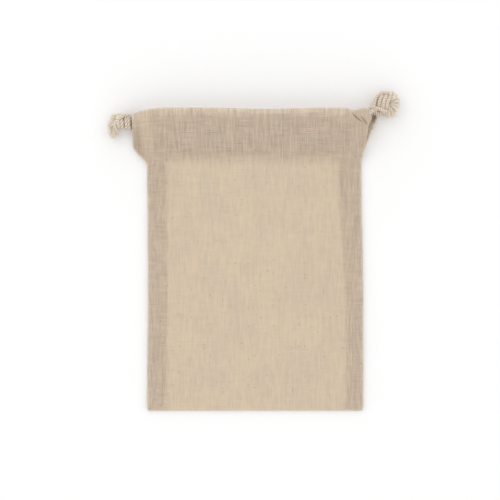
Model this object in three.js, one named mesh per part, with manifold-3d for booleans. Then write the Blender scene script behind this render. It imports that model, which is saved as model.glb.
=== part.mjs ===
// A small calico drawstring sack lying flat. Millimetres, +Z up.
// X runs across the sack, Y from its bottom fold to its mouth, Z through its thickness.
// The origin is on the face that it rests on, in the middle of the sewn pouch.
import * as THREE from 'three';
import { mergeVertices } from 'three/addons/utils/BufferGeometryUtils.js';
import Module from 'manifold-3d';

// Driving dimensions
const pouchWidth = 100; // side seam to side seam
const pouchLength = 140; // bottom fold to mouth fold
const casingWidth = 111; // the cloth strip stays wider above the side seams
const casingDepth = 22; // mouth fold to hem stitching
const seamAllowance = 9;
const cloth = 0.4; // one ply of medium calico
const threadRadius = 0.12;
const cordDiameter = 2;
const returnRadius = 4.1; // each cord turns from the front channel into the back one
const cordGap = 0.3; // room between a cord and the plies of its channel
const fitGap = 0.1; // room between plies that lie on each other
const leftRunY = 64.2; // the cord that is knotted at the left
const rightRunY = 67.2; // the cord that is knotted at the right
const sideStack = 2; // height of the four plies along a side seam
const levelY = 63; // from here to the mouth the channel's outer ply is level
const hemEdgeY = 50; // how far up the hem's turned edge reaches

// Worked out from those
const cordRadius = cordDiameter / 2;
const halfWidth = pouchWidth / 2;
const halfCasing = casingWidth / 2;
const mouthY = pouchLength / 2;
const foldY = -pouchLength / 2;
const hemY = mouthY - casingDepth;
const seamInnerX = halfWidth - seamAllowance;
const backRunZ = 2 * cloth + cordGap + cordRadius;
const frontRunZ = backRunZ + 2 * returnRadius;
const thickness = frontRunZ + backRunZ;
const innerPlyZ = thickness - backRunZ - cordRadius - cordGap - cloth; // front channel's lowest face
const hemStack = 3 * cloth; // outer ply, inner ply and its turned edge
const hemStep = 0.6; // the back hem lies this far above the resting face
const slitHemX = halfWidth + 0.3;
const slitHemStack = 0.7; // two pressed plies
const slitHemStep = 0.35;
const returnX = 46.6; // where a cord's straight run ends and its turn begins
const innerPlyHalf = 45.4; // the inner plies stop short of the turning cords

const wasm = await Module();
wasm.setup();

const calico = { color: 0xd3c1a9, roughness: 0.95 };
const shadedCalico = { color: 0xc1ae9b, roughness: 0.95 };
const threadFinish = { color: 0xd8ccba, roughness: 0.8 };
const cordFinish = { color: 0xd2c2ae, roughness: 0.9 };
const tuftFinish = { color: 0xe4dccf, roughness: 0.95 };

const sack = new THREE.Group();

function addPiece(name, geometry, finish) {
  const mesh = new THREE.Mesh(geometry, new THREE.MeshStandardMaterial({ metalness: 0, ...finish }));
  mesh.name = name;
  sack.add(mesh);
  return mesh;
}

function ease(t) {
  const s = Math.min(Math.max(t, 0), 1);
  return s * s * (3 - 2 * s);
}

// Evenly spaced values from a to b, both included
function spread(a, b, count) {
  return Array.from({ length: count + 1 }, (_, i) => a + ((b - a) * i) / count);
}

function solid(positions, faces) {
  const geometry = new THREE.BufferGeometry();
  geometry.setAttribute('position', new THREE.Float32BufferAttribute(positions.flat(), 3));
  geometry.setIndex(faces.flat());
  return geometry;
}

// A ply over a grid: pointAt gives its upper face, and its lower face is `thick` below.
function plyOver(us, vs, pointAt, thick) {
  const upper = us.flatMap((u) => vs.map((v) => pointAt(u, v)));
  const lower = upper.map(([x, y, z]) => [x, y, z - thick]);
  const rows = vs.length;
  const count = upper.length;
  const at = (i, j) => i * rows + j;
  const faces = [];
  const quad = (a, b, c, d) => faces.push([a, b, c], [a, c, d]);
  for (let i = 0; i < us.length - 1; i += 1) {
    for (let j = 0; j < rows - 1; j += 1) {
      quad(at(i, j), at(i + 1, j), at(i + 1, j + 1), at(i, j + 1));
      quad(count + at(i, j), count + at(i, j + 1), count + at(i + 1, j + 1), count + at(i + 1, j));
    }
  }
  const rim = [
    ...us.map((_, i) => at(i, 0)),
    ...vs.slice(1).map((_, j) => at(us.length - 1, j + 1)),
    ...us.slice(1).map((_, i) => at(us.length - 2 - i, rows - 1)),
    ...vs.slice(1).map((_, j) => at(0, rows - 2 - j)),
  ];
  for (let k = 0; k < rim.length - 1; k += 1) {
    quad(rim[k], count + rim[k], count + rim[k + 1], rim[k + 1]);
  }
  return solid([...upper, ...lower], faces);
}

// A closed (y, z) outline carried along X. Its points run anticlockwise seen from +X.
function carried(xs, outlineAt) {
  const outlines = xs.map(outlineAt);
  const count = outlines[0].length;
  const positions = outlines.flatMap((outline, i) => outline.map(([y, z]) => [xs[i], y, z]));
  const faces = [];
  for (let i = 0; i < xs.length - 1; i += 1) {
    for (let j = 0; j < count; j += 1) {
      const a = i * count + j;
      const b = i * count + ((j + 1) % count);
      faces.push([a, b, b + count], [a, b + count, a + count]);
    }
  }
  const last = (xs.length - 1) * count;
  const cap = (outline) => THREE.ShapeUtils.triangulateShape(
    outline.map(([y, z]) => new THREE.Vector2(y, z)),
    [],
  );
  cap(outlines[0]).forEach(([a, b, c]) => faces.push([c, b, a]));
  cap(outlines[xs.length - 1]).forEach(([a, b, c]) => faces.push([last + a, last + b, last + c]));
  return solid(positions, faces);
}

// A round rod along points, as a thread or a cord
function rodAlong(points, radius, steps) {
  const section = new THREE.Shape(
    spread(0, 2 * Math.PI, 8)
      .slice(0, 8)
      .map((a) => new THREE.Vector2(radius * Math.cos(a), radius * Math.sin(a))),
  );
  const extrudePath = new THREE.CatmullRomCurve3(
    points.map((p) => new THREE.Vector3(...p)),
    false,
    'centripetal',
  );
  return new THREE.ExtrudeGeometry(section, { steps, extrudePath, bevelEnabled: false });
}

function joined(a, b) {
  const [first, second] = [a, b].map((geometry) => {
    const bare = geometry.clone();
    bare.deleteAttribute('normal');
    bare.deleteAttribute('uv');
    const merged = mergeVertices(bare, 1e-4);
    return new wasm.Manifold(
      new wasm.Mesh({
        numProp: 3,
        vertProperties: new Float32Array(merged.attributes.position.array),
        triVerts: new Uint32Array(merged.index.array),
      }),
    );
  });
  const mesh = first.add(second).getMesh();
  const geometry = new THREE.BufferGeometry();
  geometry.setAttribute('position', new THREE.BufferAttribute(mesh.vertProperties, 3));
  geometry.setIndex(new THREE.BufferAttribute(mesh.triVerts, 1));
  return geometry;
}

// Top of the front cloth along the sack's middle: up from the bottom fold, then up to the channel
function middleTop(y) {
  const slack = 3.9; // how far the empty pouch stands open
  const climb = thickness - sideStack - slack;
  return sideStack + slack * ease((y - foldY - 1.5) / 20) + climb * ease(y / 62);
}

// Top of the front cloth near a side: level on the seam, then up to the channel. The free end
// past the seam stays low for longer, and lies just clear of the back one.
function sideTop(x, y) {
  const out = Math.abs(x) - halfWidth;
  const from = 43 - 5 * ease(-out / 6) + 11 * ease((out + 0.5) / 4);
  const base = sideStack + 0.7 * ease((out + 0.2) / 1.5);
  return base + (thickness - base) * ease((y - from) / (levelY - from));
}

function frontTop(x, y) {
  const rise = ease((45 - Math.abs(x)) / 20);
  const side = sideTop(x, y);
  return side + (middleTop(y) - side) * rise;
}

// Lower face of the front casing's inner ply
function casingUnder(x, y) {
  const depth = hemStack + (thickness - innerPlyZ - hemStack) * ease((y - hemEdgeY) / 10);
  return frontTop(x, y) - depth;
}

function buildPouch() {
  const sideX = [49.9, 48, 46, 44, seamInnerX];
  const slopeX = [38.5, 36, 33.5, 31, 28];
  const xs = [...sideX, ...slopeX, 24, 0];
  const acrossX = [...xs.map((x) => -x), ...xs.slice(0, -1).reverse()];
  const alongY = [-67.3, -64, -60, -56, -50, -30, 0, 10, 20, 30, 38, 42, 45, 47.5];
  const topAt = (x, y) => [x, y, frontTop(x, y)];
  addPiece('front_panel', plyOver(acrossX, alongY, topAt, cloth), calico);
  const backAt = (x, y) => [x, y, cloth];
  addPiece('back_panel', plyOver([-halfWidth, halfWidth], [-67.3, 47.5], backAt, cloth), calico);
}

// The bottom fold: a U of one ply, carried from side to side
function buildBottomFold() {
  const radius = sideStack / 2;
  const startY = -67.6;
  const arc = (r) => spread(-Math.PI / 2, Math.PI / 2, 8).map((a) => [
    foldY + radius - r * Math.cos(a),
    radius + r * Math.sin(a),
  ]);
  const outline = [
    [startY, 0],
    [startY, cloth],
    ...arc(radius - cloth),
    [startY, sideStack - cloth],
    [startY, sideStack],
    ...arc(radius).reverse(),
  ];
  addPiece('bottom_fold', carried([-halfWidth, halfWidth], () => outline), calico);
}

// Along each side: the allowance inside, its overlocked edge, and the seam's own thread
function buildSide(side, name) {
  const lowZ = cloth + fitGap;
  const highZ = sideStack - cloth - fitGap;
  const edges = [side * seamInnerX, side * (halfWidth - 0.8)].sort((a, b) => a - b);
  const allowance = plyOver(edges, [-66.5, 46.5], (x, y) => [x, y, highZ], highZ - lowZ);
  addPiece(`${name}_seam_allowance`, allowance, shadedCalico);
  const midZ = sideStack / 2;
  const seamX = side * (halfWidth - 0.4);
  const overlockX = side * (seamInnerX - 0.4);
  const seam = rodAlong([[seamX, -66, midZ], [seamX, 46.5, midZ]], threadRadius, 1);
  addPiece(`${name}_seam_thread`, seam, threadFinish);
  const overlock = rodAlong([[overlockX, -66, midZ], [overlockX, 46.5, midZ]], 2 * threadRadius, 1);
  addPiece(`${name}_overlock_thread`, overlock, threadFinish);
}

// The channel's outer ply, its mouth fold and its hem, for the front of the sack
function outerOutline(x) {
  const climbY = [hemY - 0.2, hemEdgeY, 52, 54, 56, 58, 60, 61.6, 63];
  const [top, under] = [frontTop(x, mouthY), casingUnder(x, mouthY)];
  const outside = climbY.map((y) => [y, frontTop(x, y)]);
  const inside = climbY.slice(1).map((y) => [y, frontTop(x, y) - cloth]);
  const hemUnder = climbY.slice(0, 2).map((y) => [y, frontTop(x, y) - hemStack]);
  const foldOutside = [[68.8, top], [69.6, top - 0.35], [70, top - 1.1]];
  const foldLower = [[70, under + 1.1], [69.6, under + 0.35], [68.8, under], [68.2, under]];
  const foldInsideLow = [[68.2, under + 0.4], [68.7, under + 0.4], [69.3, under + 0.65]];
  const foldInside = [[69.6, under + 1.2], [69.6, top - 1.2], [69.3, top - 0.65], [68.7, top - 0.4]];
  return [
    ...hemUnder,
    ...inside,
    ...foldInside.reverse(),
    ...foldInsideLow.reverse(),
    ...foldLower.reverse(),
    ...foldOutside.reverse(),
    ...outside.reverse(),
  ];
}

// The channel's inner ply, from the hem to the mouth fold
function innerOutline(x) {
  const ys = [48.5, hemEdgeY, 52, 54, 56, 58, 60, 68.5];
  const lower = ys.map((y) => [y, casingUnder(x, y)]);
  const upper = ys.map((y) => [y, casingUnder(x, y) + cloth]);
  return [...lower, ...upper.reverse()];
}

function buildCasings() {
  const slopes = [innerPlyHalf, seamInnerX, 38.5, 36, 33.5, 31, 28, 24];
  const innerX = [...slopes.map((x) => -x), ...slopes.slice().reverse()];
  const outerX = [-halfWidth, -48, ...innerX, 48, halfWidth];
  const front = joined(carried(outerX, outerOutline), carried(innerX, innerOutline));
  addPiece('front_casing', front, shadedCalico);
  const turned = (outline) => outline.map(([y, z]) => [y, thickness - z]).reverse();
  const back = joined(
    carried([-halfWidth, halfWidth], () => turned(outerOutline(0))),
    carried([-innerPlyHalf, innerPlyHalf], () => turned(innerOutline(0))),
  );
  addPiece('back_casing', back, shadedCalico);
}

// The rows of stitches that close the two channels
function buildHemThreads() {
  const stitchY = hemY + 1.1;
  const xs = spread(-49.5, 49.5, 48);
  const front = xs.map((x) => [x, stitchY, frontTop(x, stitchY) + threadRadius + 0.08]);
  addPiece('front_hem_thread', rodAlong(front, threadRadius, 72), threadFinish);
  const backZ = hemStep - threadRadius - 0.05;
  const back = [[-49.5, stitchY, backZ], [49.5, stitchY, backZ]];
  addPiece('back_hem_thread', rodAlong(back, threadRadius, 1), threadFinish);
}

// The turned and stitched cloth edges at the ends of a channel
function buildSlitHems(side, name) {
  const across = (u) => slitHemX + (halfCasing - slitHemX) * u;
  const lowY = (x) => 49.6 + 2.6 * ((x - slitHemX) / (halfCasing - slitHemX)) ** 2;
  const highY = (x) => mouthY - 2.8 * ((x - slitHemX) / (halfCasing - slitHemX)) ** 2;
  const alongY = (u, v) => lowY(across(u)) + (highY(across(u)) - lowY(across(u))) * v;
  const us = side > 0 ? spread(0, 1, 4) : spread(1, 0, 4);
  const vs = [...spread(0, 0.75, 14), 1];
  const hemTop = (x, y) => frontTop(x, y) - slitHemStep;
  const frontAt = (u, v) => [side * across(u), alongY(u, v), hemTop(across(u), alongY(u, v))];
  const backTop = slitHemStep + slitHemStack;
  const backAt = (u, v) => [side * across(u), alongY(u, v), backTop];
  addPiece(`front_${name}_slit_hem`, plyOver(us, vs, frontAt, slitHemStack), shadedCalico);
  addPiece(`back_${name}_slit_hem`, plyOver(us, [0, 1], backAt, slitHemStack), shadedCalico);
  const stitchX = across(0.5);
  const stitchY = spread(51.5, 68, 44);
  const slope = (y) => Math.abs(hemTop(stitchX, y + 0.2) - hemTop(stitchX, y - 0.2)) / 0.4;
  const clear = (y) => (threadRadius + 0.06) * Math.hypot(1, slope(y)) + 0.08;
  const onFront = (y) => [side * stitchX, y, hemTop(stitchX, y) + clear(y)];
  const front = rodAlong(stitchY.map(onFront), threadRadius, 44);
  addPiece(`front_${name}_slit_thread`, front, threadFinish);
  const backZ = slitHemStep - threadRadius - 0.05;
  const back = [[side * stitchX, 51.5, backZ], [side * stitchX, 68, backZ]];
  addPiece(`back_${name}_slit_thread`, rodAlong(back, threadRadius, 1), threadFinish);
}

// One endless run: out of the knot, along the front channel, round, and back along the other.
function cordRoute(side, runY, frontTail, backTail) {
  const straight = (z, from, to) => spread(from, to, 12).map((x) => [side * x, runY, z]);
  const turn = spread(0, Math.PI, 8).slice(1, -1).map((a) => [
    side * (returnX + returnRadius * Math.sin(a)),
    runY,
    (frontRunZ + backRunZ) / 2 + returnRadius * Math.cos(a),
  ]);
  return [
    ...frontTail,
    ...straight(frontRunZ, -returnX, returnX),
    ...turn,
    ...straight(backRunZ, returnX, -returnX),
    ...backTail.slice().reverse(),
  ];
}

function buildCords() {
  const leftFront = [[-57.6, 65.7, 4.7], [-55.2, 65.4, 6.1], [-52.4, 64.9, 8.2], [-49.6, 64.3, 9.8]];
  const leftBack = [[-57.6, 62.4, 2.9], [-54, 63.2, 2.4], [-50.2, 64.1, 2.1]];
  const left = cordRoute(1, leftRunY, leftFront, leftBack);
  addPiece('left_drawcord', rodAlong(left, cordRadius, 78), cordFinish);
  const rightFront = [[56.4, 69.5, 6.2], [54.7, 68.5, 7.2], [52.4, 67.6, 8.6], [49.7, 67.2, 9.8]];
  const rightBack = [[57.3, 68.7, 3.5], [55.9, 67.8, 2.8], [53.2, 67.3, 2.3], [50, 67.2, 2.1]];
  const right = cordRoute(-1, rightRunY, rightFront, rightBack);
  addPiece('right_drawcord', rodAlong(right, cordRadius, 78), cordFinish);
}

// A knot is a body of revolution about the line in which its cord leaves it.
function knotSolid(halfLength, radii) {
  const profile = radii.map((r, i) => new THREE.Vector2(
    r,
    -halfLength + (2 * halfLength * i) / (radii.length - 1),
  ));
  const ends = [new THREE.Vector2(0, -halfLength), ...profile, new THREE.Vector2(0, halfLength)];
  return new THREE.LatheGeometry(ends, 20);
}

// A flat brush of loose yarn ends, as an outline with a rounded rim
function tuftSolid(outline, lowZ, highZ) {
  const rim = 1;
  const shape = new THREE.Shape(outline.map(([x, y]) => new THREE.Vector2(x, y)));
  const geometry = new THREE.ExtrudeGeometry(shape, {
    depth: highZ - lowZ - 2 * rim,
    bevelThickness: rim,
    bevelSize: 0.7,
    bevelOffset: -0.7,
    bevelSegments: 2,
  });
  return geometry.translate(0, 0, lowZ + rim);
}

function buildLeftKnot() {
  const knot = knotSolid(2.9, [2.2, 3.1, 3.3, 3, 3.25, 3.3, 2.9, 2]);
  knot.rotateZ(Math.PI / 2).translate(-60.9, 63.8, 3.5);
  addPiece('left_knot', knot, cordFinish);
  const fan = [
    [-64, 65.2], [-65.4, 67.8], [-67.6, 67], [-69, 62.6], [-68.6, 58], [-66.4, 55.6],
    [-64.6, 57.4], [-64, 60.8],
  ];
  addPiece('left_tuft', tuftSolid(fan, 0.4, 5.4), tuftFinish);
}

function buildRightKnot() {
  const centre = [60, 72.8, 4.8];
  const knot = knotSolid(4.4, [1.6, 3.6, 4.4, 4.6, 4.55, 4.3, 3.5, 1.6]);
  knot.rotateZ(-0.87).translate(...centre);
  addPiece('right_knot', knot, cordFinish);
  const reach = [[62, 6.6], [48, 7.6], [25, 7.3], [0, 7.4], [-25, 8], [-45, 9.2], [-62, 10.2], [-80, 8.2]];
  const spoke = (degrees, r) => {
    const a = THREE.MathUtils.degToRad(degrees);
    return [centre[0] + r * Math.cos(a), centre[1] + r * Math.sin(a)];
  };
  const outer = reach.map(([degrees, r]) => spoke(degrees, r));
  const inner = spread(-80, 62, 8).map((degrees) => spoke(degrees, 5));
  addPiece('right_tuft', tuftSolid([...outer, ...inner], 0.4, 6.8), tuftFinish);
}

buildPouch();
buildBottomFold();
buildSide(-1, 'left');
buildSide(1, 'right');
buildCasings();
buildHemThreads();
buildSlitHems(-1, 'left');
buildSlitHems(1, 'right');
buildCords();
buildLeftKnot();
buildRightKnot();

export default sack;
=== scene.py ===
import bpy
import numpy as np
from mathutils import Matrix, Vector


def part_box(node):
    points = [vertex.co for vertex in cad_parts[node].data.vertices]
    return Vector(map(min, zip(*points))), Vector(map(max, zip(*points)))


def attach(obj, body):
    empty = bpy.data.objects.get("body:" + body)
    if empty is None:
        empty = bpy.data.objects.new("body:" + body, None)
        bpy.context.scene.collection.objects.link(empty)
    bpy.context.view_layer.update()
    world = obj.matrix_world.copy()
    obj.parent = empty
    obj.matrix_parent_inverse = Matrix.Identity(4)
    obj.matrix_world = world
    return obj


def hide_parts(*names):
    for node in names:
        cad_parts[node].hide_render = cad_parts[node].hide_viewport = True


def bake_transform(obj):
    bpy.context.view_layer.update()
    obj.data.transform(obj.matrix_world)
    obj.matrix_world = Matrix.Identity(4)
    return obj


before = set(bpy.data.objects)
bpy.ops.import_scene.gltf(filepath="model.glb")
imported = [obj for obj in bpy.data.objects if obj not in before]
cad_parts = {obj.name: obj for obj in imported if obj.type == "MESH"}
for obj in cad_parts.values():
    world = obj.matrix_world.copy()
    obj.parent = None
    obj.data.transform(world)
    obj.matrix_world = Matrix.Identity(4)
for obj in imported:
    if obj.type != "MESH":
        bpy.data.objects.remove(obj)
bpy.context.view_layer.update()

mm = 0.001


def boxMm(node):
    low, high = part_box(node)
    return np.array(low) / mm, np.array(high) / mm


backHigh = boxMm("back_panel")[1]
foldLow, foldHigh = boxMm("bottom_fold")
casingLow, casingHigh = boxMm("front_casing")
halfWidth, cloth = backHigh[0], backHigh[2]  # from the middle to a side seam; one ply of calico
foldY, sideTop = foldLow[1], foldHigh[2]  # sideTop is the height of the plies along a side seam
hemY = casingLow[1] + 0.2  # the channel's cloth starts just below its hem's stitches
mouthY, topZ = casingHigh[1], casingHigh[2]


# The camera looks straight down. Its picture is "across" mm wide at the height "atZ".
view = {
    "lens": 200, "sensor": 36, "across": 230.6, "over": (-2.2, 4.35), "atZ": 5,
    "clip": (0.05, 20),  # metres
}


def makeCamera():
    data = bpy.data.cameras.new("overheadCamera")
    data.lens, data.sensor_width = view["lens"], view["sensor"]
    data.clip_start, data.clip_end = view["clip"]
    camera = bpy.data.objects.new("overheadCamera", data)
    height = view["across"] * view["lens"] / view["sensor"] + view["atZ"]
    camera.location = (view["over"][0] * mm, view["over"][1] * mm, height * mm)
    bpy.context.scene.collection.objects.link(camera)
    bpy.context.scene.camera = camera


# Helpers for materials

def linear(hexColour):
    # sRGB hex to linear light
    parts = np.array([int(hexColour[i:i + 2], 16) / 255 for i in (0, 2, 4)])
    low, high = parts / 12.92, ((parts + 0.055) / 1.055) ** 2.4
    return (*np.where(parts <= 0.04045, low, high).tolist(), 1.0)


def addNode(tree, kind, inputs=None, **settings):
    # one shader node with its settings, its constants and its links; an input that is itself a
    # node is linked from that node's first output
    node = tree.nodes.new("ShaderNode" + kind)
    for name, value in settings.items():
        setattr(node, name, value)
    for key, value in (inputs or {}).items():
        if isinstance(value, bpy.types.Node):
            value = value.outputs[0]
        if isinstance(value, bpy.types.NodeSocket):
            tree.links.new(value, node.inputs[key])
        else:
            node.inputs[key].default_value = value
    return node


def newMaterial(name):
    material = bpy.data.materials.new(name)
    material.use_nodes = True
    tree = material.node_tree
    tree.nodes.clear()
    return material, tree


def finishSurface(tree, inputs):
    surface = addNode(tree, "BsdfPrincipled", inputs)
    addNode(tree, "OutputMaterial", {"Surface": surface})


# A white board, an even white sky, and one large soft lamp high up beyond the mouth's left end.
# Places and sizes here are in metres.
studio = {
    "floorReach": 1.5, "floorZ": -0.00002, "white": 0.98, "sky": 0.98,
    "keyWatts": 1.6, "keySize": 0.9, "keyAt": (-0.55, 0.75, 1.25),
}


def makeFloor():
    reach, z = studio["floorReach"], studio["floorZ"]
    mesh = bpy.data.meshes.new("floor")
    corners = [(-reach, -reach, z), (reach, -reach, z), (reach, reach, z), (-reach, reach, z)]
    mesh.from_pydata(corners, [], [(0, 1, 2, 3)])
    floor = bpy.data.objects.new("floor", mesh)
    bpy.context.scene.collection.objects.link(floor)
    material, tree = newMaterial("whiteBoard")  # matt white card: no gloss and no grain
    white = studio["white"]
    finishSurface(tree, {"Base Color": (white, white, white, 1), "Roughness": 1.0,
                         "Specular IOR Level": 0.0})
    mesh.materials.append(material)


def makeLight():
    world = bpy.data.worlds.new("softbox")
    world.use_nodes = True
    background = world.node_tree.nodes["Background"]
    background.inputs["Color"].default_value = (1.0, 1.0, 1.0, 1)
    background.inputs["Strength"].default_value = studio["sky"]
    bpy.context.scene.world = world
    light = bpy.data.lights.new("keyLight", "AREA")
    light.energy, light.size = studio["keyWatts"], studio["keySize"]
    key = bpy.data.objects.new("keyLight", light)
    key.location = studio["keyAt"]
    key.rotation_mode = "QUATERNION"
    key.rotation_quaternion = (-key.location).to_track_quat("-Z", "Y")
    bpy.context.scene.collection.objects.link(key)
    bpy.context.scene.view_settings.view_transform = "Standard"


# Helpers for meshes

def ease(t):
    # 0 up to 0, 1 from 1 on, and 3 t^2 - 2 t^3 between
    t = np.clip(t, 0, 1)
    return t * t * (3 - 2 * t)


def unit(v):
    return v / np.maximum(np.linalg.norm(v, axis=-1, keepdims=True), 1e-12)


def makePiece(name, points, quads, triangles=None):
    # points in mm; quads and triangles index them
    mesh = bpy.data.meshes.new(name)
    triangles = np.zeros((0, 3), int) if triangles is None else triangles
    loops = np.concatenate([quads.ravel(), triangles.ravel()]).astype(np.int32)
    sizes = np.concatenate([np.full(len(quads), 4), np.full(len(triangles), 3)])
    starts = np.concatenate([[0], np.cumsum(sizes)[:-1]]).astype(np.int32)
    mesh.vertices.add(len(points))
    mesh.vertices.foreach_set("co", (points * mm).astype(np.float32).ravel())
    mesh.loops.add(len(loops))
    mesh.loops.foreach_set("vertex_index", loops)
    mesh.polygons.add(len(sizes))
    mesh.polygons.foreach_set("loop_start", starts)
    mesh.polygons.foreach_set("use_smooth", np.ones(len(sizes), bool))
    mesh.update(calc_edges=True)
    mesh.validate()
    piece = bpy.data.objects.new(name, mesh)
    bpy.context.scene.collection.objects.link(piece)
    return piece


def addUv(piece, uv):
    # uv: one pair per vertex, in mm of cloth
    mesh = piece.data
    index = np.empty(len(mesh.loops), np.int32)
    mesh.loops.foreach_get("vertex_index", index)
    layer = mesh.uv_layers.new(name="clothMm")
    layer.uv.foreach_set("vector", uv[index].astype(np.float32).ravel())


def addValue(piece, name, values):
    attribute = piece.data.attributes.new(name, "FLOAT", "POINT")
    attribute.data.foreach_set("value", values.astype(np.float32).ravel())


def smoothPath(points, step):
    # Catmull-Rom through the points, then evenly spaced by length
    perSpan = 12
    p = np.array(points, float)
    p = np.vstack([2 * p[0] - p[1], p, 2 * p[-1] - p[-2]])
    t = np.linspace(0, 1, perSpan, endpoint=False)[:, None]
    a, b, c, d = (p[i:len(p) - 3 + i][:, None] for i in range(4))
    curve = 0.5 * (2 * b + (c - a) * t + (2 * a - 5 * b + 4 * c - d) * t ** 2
                   + (3 * b - a - 3 * c + d) * t ** 3)
    curve = np.vstack([curve.reshape(-1, 3), p[-2]])
    along = lengthAlong(curve)
    wanted = np.linspace(0, along[-1], max(3, int(round(along[-1] / step)) + 1))
    return np.stack([np.interp(wanted, along, curve[:, i]) for i in range(3)], axis=1)


def lengthAlong(curve):
    # how far each point lies along its path, for one path or for several at once
    steps = np.linalg.norm(np.diff(curve, axis=-2), axis=-1)
    return np.concatenate([np.zeros((*steps.shape[:-1], 1)), np.cumsum(steps, axis=-1)], axis=-1)


def carriedFrames(paths):
    # a frame that follows each path and never spins about it: each normal is the one before,
    # less the part of it that leans along the path
    tangent = unit(np.gradient(paths, axis=1))
    normal = np.empty_like(paths)
    upright = np.abs(tangent[:, :1, 2:]) > 0.8
    helper = np.where(upright, [[[1.0, 0, 0]]], [[[0, 0, 1.0]]])
    normal[:, 0] = unit(np.cross(tangent[:, 0], helper[:, 0]))
    for i in range(1, paths.shape[1]):
        before = normal[:, i - 1]
        lean = (before * tangent[:, i]).sum(-1, keepdims=True)
        normal[:, i] = unit(before - lean * tangent[:, i])
    return normal, np.cross(tangent, normal)


def makeTubes(name, paths, radii, sides, lobes=None, tones=0.5):
    # path + radius (cos a normal + sin a binormal), for k paths of n points; radii may swell and
    # taper. A light or dark tone for each path and the depth of its grooves go along as values.
    paths = np.asarray(paths, float)
    k, n = paths.shape[:2]
    normal, binormal = carriedFrames(paths)
    angle = np.arange(sides) * 2 * np.pi / sides
    around = (np.cos(angle)[:, None] * normal[:, :, None]
              + np.sin(angle)[:, None] * binormal[:, :, None])
    radius = np.broadcast_to(np.asarray(radii, float), (k, n))[:, :, None] * np.ones(sides)
    grooves = np.zeros(radius.shape)
    if lobes is not None:
        shape = twistedLobes(paths, angle, lobes)
        radius, grooves = radius * shape, (1 - shape) / lobes["groove"]
    rings = paths[:, :, None] + radius[..., None] * around
    base = np.arange(k)[:, None, None] * (n * sides)
    i = np.arange(n - 1)[None, :, None] * sides
    j, jNext = np.arange(sides), (np.arange(sides) + 1) % sides
    quads = np.stack([base + i + j, base + i + jNext, base + i + sides + jNext,
                      base + i + sides + j], axis=-1).reshape(-1, 4)
    total = k * n * sides
    starts, ends = total + np.arange(k)[:, None], total + k + np.arange(k)[:, None]
    first, last = base[:, 0], base[:, 0] + (n - 1) * sides
    startCap = np.stack([starts + 0 * j, first + jNext, first + j], axis=-1).reshape(-1, 3)
    endCap = np.stack([ends + 0 * j, last + j, last + jNext], axis=-1).reshape(-1, 3)
    points = np.vstack([rings.reshape(-1, 3), paths[:, 0], paths[:, -1]])
    piece = makePiece(name, points, quads, np.vstack([startCap, endCap]))
    tone = np.broadcast_to(tones, k)
    addValue(piece, "tone", np.concatenate([np.repeat(tone, n * sides), tone, tone]))
    addValue(piece, "groove", np.concatenate([grooves.ravel(), np.zeros(2 * k)]))
    return piece


def twistedLobes(paths, angle, twist):
    # three rounded plies: 1 - groove (1 - |cos 1.5 a|)^1.6, where a turns once for each lay of
    # cord, and finer grooves between the three yarns of each ply, which wind the other way
    along = lengthAlong(paths)[:, :, None]
    plies = np.abs(np.cos(1.5 * (angle - 2 * np.pi * along / twist["lay"])))
    yarns = np.abs(np.cos(4.5 * (angle + 2 * np.pi * along / twist["yarnLay"])))
    return 1 - twist["groove"] * (1 - plies) ** 1.6 - twist["fineGroove"] * (1 - yarns)


# Cords: soft three-ply cotton, each one a loop through both channels

cord = {
    "diameter": 2.0, "turnX": 46.6, "turnRadius": 4.1, "highZ": 10.3, "lowZ": 2.1,
    "leftY": 64.2, "rightY": 67.2, "runPoints": 13, "turnPoints": 9, "sides": 36, "ringStep": 0.42,
}
cordTwist = {"lay": 4.4, "yarnLay": 2.6, "groove": 0.24, "fineGroove": 0.07}
leftFront = [(-57.6, 65.7, 4.7), (-55.2, 65.4, 6.1), (-52.4, 64.9, 8.2), (-49.6, 64.3, 9.8)]
leftBack = [(-57.6, 62.4, 2.9), (-54, 63.2, 2.4), (-50.2, 64.1, 2.1)]
rightFront = [(56.4, 69.5, 6.2), (54.7, 68.5, 7.2), (52.4, 67.6, 8.6), (49.7, 67.2, 9.8)]
rightBack = [(57.3, 68.7, 3.5), (55.9, 67.8, 2.8), (53.2, 67.3, 2.3), (50, 67.2, 2.1)]


def cordRoute(side, runY, frontTail, backTail):
    # out of the knot, along the front channel, round half a circle and back along the other
    xs = side * np.linspace(-cord["turnX"], cord["turnX"], cord["runPoints"])
    middleZ = (cord["highZ"] + cord["lowZ"]) / 2
    angle = np.linspace(0, np.pi, cord["turnPoints"])[1:-1]
    bend = [(side * (cord["turnX"] + cord["turnRadius"] * np.sin(a)), runY,
             middleZ + cord["turnRadius"] * np.cos(a)) for a in angle]
    front = [(x, runY, cord["highZ"]) for x in xs]
    back = [(x, runY, cord["lowZ"]) for x in xs[::-1]]
    return smoothPath([*frontTail, *front, *bend, *back, *backTail[::-1]], cord["ringStep"])


def finishPiece(piece, body, nodes, material):
    piece.data.materials.append(material)
    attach(piece, body)
    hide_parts(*nodes)
    return piece


def makeCord(side, path, material):
    piece = makeTubes(f"{side}Drawcord", path[None], cord["diameter"] / 2, cord["sides"], cordTwist)
    return finishPiece(piece, f"{side}_cord", [f"{side}_drawcord"], material)


# Knots: the doubled cord wound on itself. A tone above 0.5 is paler than the cords.

knotTwist = {"lay": 3.1, "yarnLay": 2.1, "groove": 0.24, "fineGroove": 0.08}
leftKnot = {
    "strand": 0.93, "core": 1.9, "rings": 150, "tone": 0.78,
    "twist": dict(knotTwist, lay=3.9, groove=0.26),
    "wrapX": (2.25, -1.25), "wrapY": 2.8, "wrapZ": 2.45, "slope": 0.45, "spread": (0.55, 0.95),
    "wound": 600,  # degrees
}
rightKnot = {"strand": 0.96, "core": 2.5, "rings": 110, "tone": 0.64, "twist": knotTwist}


def middleOf(node):
    low, high = boxMm(node)
    return (low + high) / 2


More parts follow.
